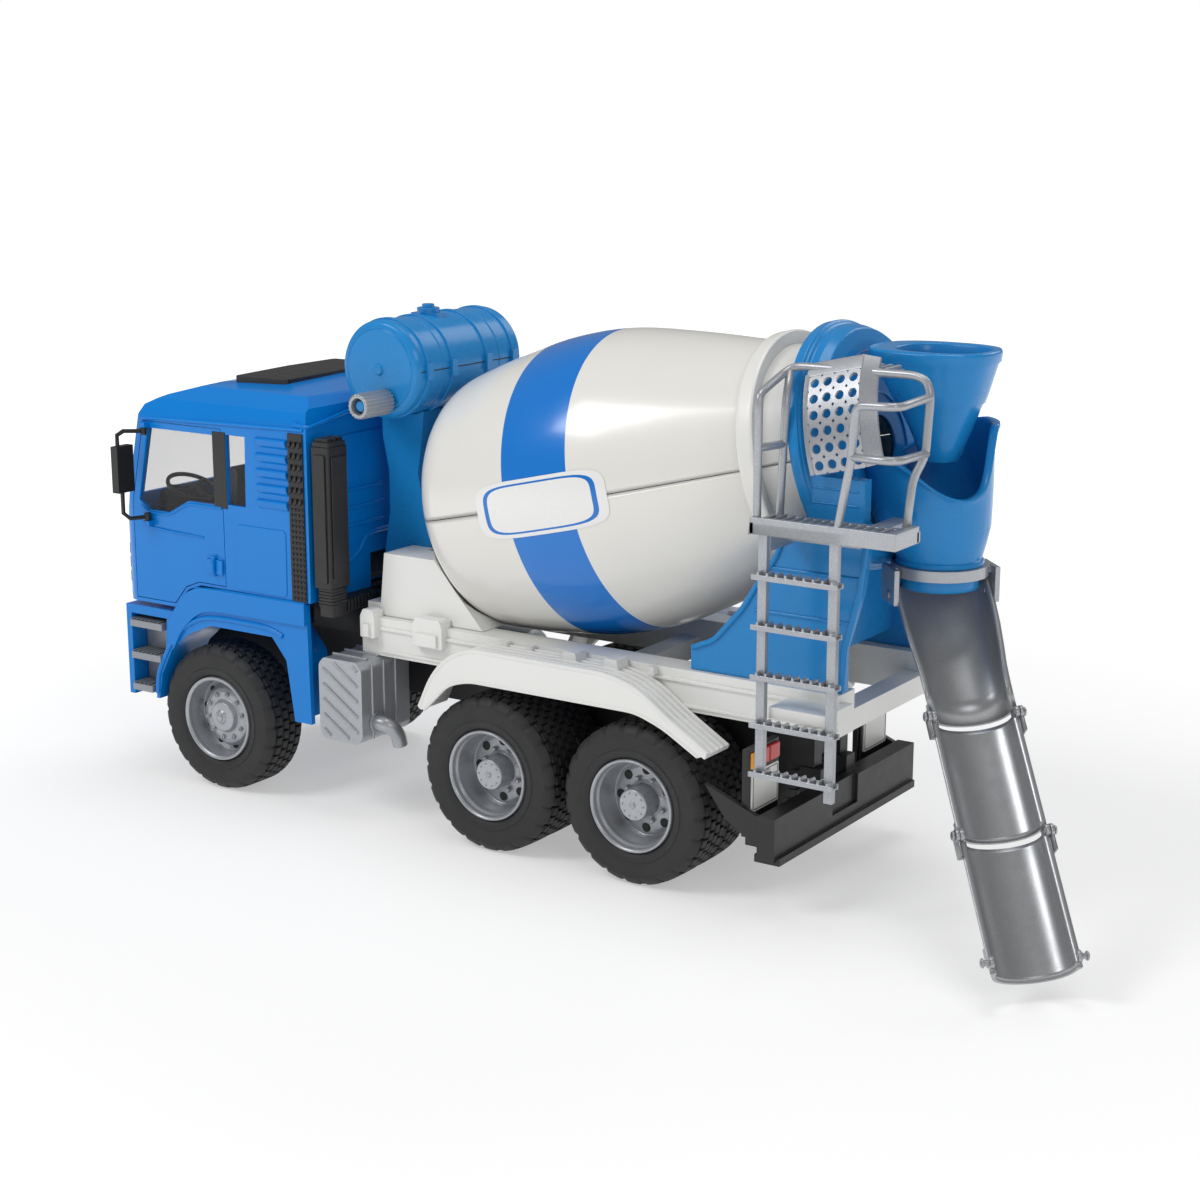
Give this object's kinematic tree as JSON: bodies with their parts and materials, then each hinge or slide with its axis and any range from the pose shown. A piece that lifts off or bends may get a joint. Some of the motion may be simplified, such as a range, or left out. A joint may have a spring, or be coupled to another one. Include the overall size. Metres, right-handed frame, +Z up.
{
  "type": "toy cement mixer truck",
  "caption": "Blue, white and silver toy concrete mixer truck with turning drum, crank knob, tilting cab, doors and a folding discharge chute.",
  "frame": {"origin": "bottom centre of the bounding box, on the ground under the truck", "axes": "+X from the cab towards the rear, +Y towards the truck's right side, +Z up"},
  "size_m": [0.5934, 0.2144, 0.2834],
  "materials": {
    "black_plastic": "satin black moulded plastic",
    "body_blue": "slightly greyer blue moulded plastic",
    "cab_blue": "saturated blue moulded plastic",
    "chute_silver": "silver metallic, soft shine",
    "clear_plastic": "clear plastic, slightly tinted",
    "drum_white": "glossy off-white with a blue band",
    "grey_plastic": "grey moulded plastic",
    "silver_plastic": "silver-grey moulded plastic with a fine metallic flake",
    "steel": "plain bright steel",
    "tyre_rubber": "soft black rubber",
    "white_plastic": "off-white moulded plastic"
  },
  "bodies": {
    "chassis": {"chassis_frame": "black_plastic", "front_axle": "steel", "rear_axle_1": "steel", "rear_axle_2": "steel", "front_fairing": "cab_blue", "left_steps": "grey_plastic", "right_steps": "grey_plastic", "engine_block": "black_plastic", "exhaust_silencer": "grey_plastic", "fuel_tank": "grey_plastic", "air_intake_stack": "black_plastic", "mixer_subframe": "white_plastic", "left_rear_fender": "white_plastic", "right_rear_fender": "white_plastic", "rear_bumper": "black_plastic", "drive_housing": "body_blue", "drum_pedestal": "white_plastic", "tank_shell_upper": "body_blue", "tank_shell_lower": "body_blue", "rear_stand": "body_blue", "drum_mouth_cap": "body_blue", "hopper": "body_blue", "discharge_spout": "body_blue", "platform": "silver_plastic", "guard_rail": "silver_plastic", "perforated_panel": "silver_plastic", "ladder": "silver_plastic"},
    "left_front_wheel": {"left_front_wheel_rim": "silver_plastic", "left_front_wheel_tyre": "tyre_rubber"},
    "left_rear_wheel_1": {"left_rear_wheel_1_rim": "silver_plastic", "left_rear_wheel_1_tyre": "tyre_rubber"},
    "left_rear_wheel_2": {"left_rear_wheel_2_rim": "silver_plastic", "left_rear_wheel_2_tyre": "tyre_rubber"},
    "right_front_wheel": {"right_front_wheel_rim": "silver_plastic", "right_front_wheel_tyre": "tyre_rubber"},
    "right_rear_wheel_1": {"right_rear_wheel_1_rim": "silver_plastic", "right_rear_wheel_1_tyre": "tyre_rubber"},
    "right_rear_wheel_2": {"right_rear_wheel_2_rim": "silver_plastic", "right_rear_wheel_2_tyre": "tyre_rubber"},
    "cab": {"cab_shell": "cab_blue", "cab_interior": "black_plastic", "windscreen": "clear_plastic"},
    "left_door": {"left_door": "cab_blue"},
    "left_mirror": {"left_mirror": "black_plastic"},
    "right_door": {"right_door": "cab_blue"},
    "right_mirror": {"right_mirror": "black_plastic"},
    "drum": {"drum_shell_lower": "drum_white", "drum_shell_upper": "drum_white", "drum_running_ring": "white_plastic", "drum_journal": "steel", "mixing_blades": "white_plastic"},
    "left_roller": {"left_roller": "grey_plastic"},
    "right_roller": {"right_roller": "grey_plastic"},
    "crank": {"crank_shaft": "steel", "turning_knob": "silver_plastic"},
    "drive_shaft": {"upright_drive_shaft": "steel"},
    "chute_swivel": {"chute_swivel": "silver_plastic"},
    "chute": {"chute_main": "chute_silver"},
    "extension_1": {"chute_extension_1": "chute_silver"},
    "extension_2": {"chute_extension_2": "chute_silver"}
  },
  "joints": [
    {"name": "left_front_wheel_spin", "type": "hinge", "parent": "chassis", "child": "left_front_wheel", "pos_m": [-0.22824, -0.04822, 0.042], "axis": [0, 1, 0], "continuous": true},
    {"name": "left_rear_wheel_1_spin", "type": "hinge", "parent": "chassis", "child": "left_rear_wheel_1", "pos_m": [-0.03824, -0.03622, 0.042], "axis": [0, 1, 0], "continuous": true},
    {"name": "left_rear_wheel_2_spin", "type": "hinge", "parent": "chassis", "child": "left_rear_wheel_2", "pos_m": [0.05116, -0.03622, 0.042], "axis": [0, 1, 0], "continuous": true},
    {"name": "right_front_wheel_spin", "type": "hinge", "parent": "chassis", "child": "right_front_wheel", "pos_m": [-0.22824, 0.07378, 0.042], "axis": [0, 1, 0], "continuous": true},
    {"name": "right_rear_wheel_1_spin", "type": "hinge", "parent": "chassis", "child": "right_rear_wheel_1", "pos_m": [-0.03824, 0.06178, 0.042], "axis": [0, 1, 0], "continuous": true},
    {"name": "right_rear_wheel_2_spin", "type": "hinge", "parent": "chassis", "child": "right_rear_wheel_2", "pos_m": [0.05116, 0.06178, 0.042], "axis": [0, 1, 0], "continuous": true},
    {"name": "cab_tilt", "type": "hinge", "parent": "chassis", "child": "cab", "pos_m": [-0.29274, 0.01278, 0.1025], "axis": [0, -1, 0], "range_deg": [0, 50]},
    {"name": "left_door_hinge", "type": "hinge", "parent": "cab", "child": "left_door", "pos_m": [-0.28574, -0.06182, 0.165], "axis": [0, 0, -1], "range_deg": [0, 60]},
    {"name": "left_mirror_hinge", "type": "hinge", "parent": "left_door", "child": "left_mirror", "pos_m": [-0.27324, -0.06462, 0.182], "axis": [0, 0, 1], "range_deg": [-20, 60]},
    {"name": "right_door_hinge", "type": "hinge", "parent": "cab", "child": "right_door", "pos_m": [-0.28574, 0.08738, 0.165], "axis": [0, 0, 1], "range_deg": [0, 60]},
    {"name": "right_mirror_hinge", "type": "hinge", "parent": "right_door", "child": "right_mirror", "pos_m": [-0.27324, 0.09018, 0.182], "axis": [0, 0, -1], "range_deg": [-20, 60]},
    {"name": "drum_spin", "type": "hinge", "parent": "chassis", "child": "drum", "pos_m": [-0.01481, 0.01278, 0.18664], "axis": [0.9733, 0, 0.2294], "continuous": true},
    {"name": "left_roller_spin", "type": "hinge", "parent": "chassis", "child": "left_roller", "pos_m": [0.11951, 0.05141, 0.16161], "axis": [0.9733, 0, 0.2294], "continuous": true},
    {"name": "right_roller_spin", "type": "hinge", "parent": "chassis", "child": "right_roller", "pos_m": [0.11951, -0.02585, 0.16161], "axis": [0.9733, 0, 0.2294], "continuous": true},
    {"name": "crank_turn", "type": "hinge", "parent": "chassis", "child": "crank", "pos_m": [-0.12184, 0.01278, 0.2284], "axis": [0, 1, 0], "continuous": true},
    {"name": "drive_shaft_turn", "type": "hinge", "parent": "chassis", "child": "drive_shaft", "pos_m": [-0.12624, 0.01278, 0.2], "axis": [0, 0, 1], "continuous": true},
    {"name": "chute_swing", "type": "hinge", "parent": "chassis", "child": "chute_swivel", "pos_m": [0.17976, 0.01278, 0.165], "axis": [0, 0, 1], "range_deg": [-24, 122]},
    {"name": "chute_tilt", "type": "hinge", "parent": "chute_swivel", "child": "chute", "pos_m": [0.18213, 0.01032, 0.15493], "axis": [-0.7193, -0.6947, 0], "range_deg": [0, 40]},
    {"name": "extension_1_fold", "type": "hinge", "parent": "chute", "child": "extension_1", "pos_m": [0.21887, -0.02772, 0.10883], "axis": [-0.7193, -0.6947, 0], "range_deg": [0, 90]},
    {"name": "extension_2_fold", "type": "hinge", "parent": "extension_1", "child": "extension_2", "pos_m": [0.24883, -0.05875, 0.06569], "axis": [-0.7193, -0.6947, 0], "range_deg": [0, 150]}
  ],
  "couplings": [
    {"joint": "left_roller_spin", "follows": "drum_spin", "ratio": -10.167},
    {"joint": "right_roller_spin", "follows": "drum_spin", "ratio": -10.167},
    {"joint": "crank_turn", "follows": "drum_spin", "ratio": 3},
    {"joint": "drive_shaft_turn", "follows": "drum_spin", "ratio": -3}
  ]
}
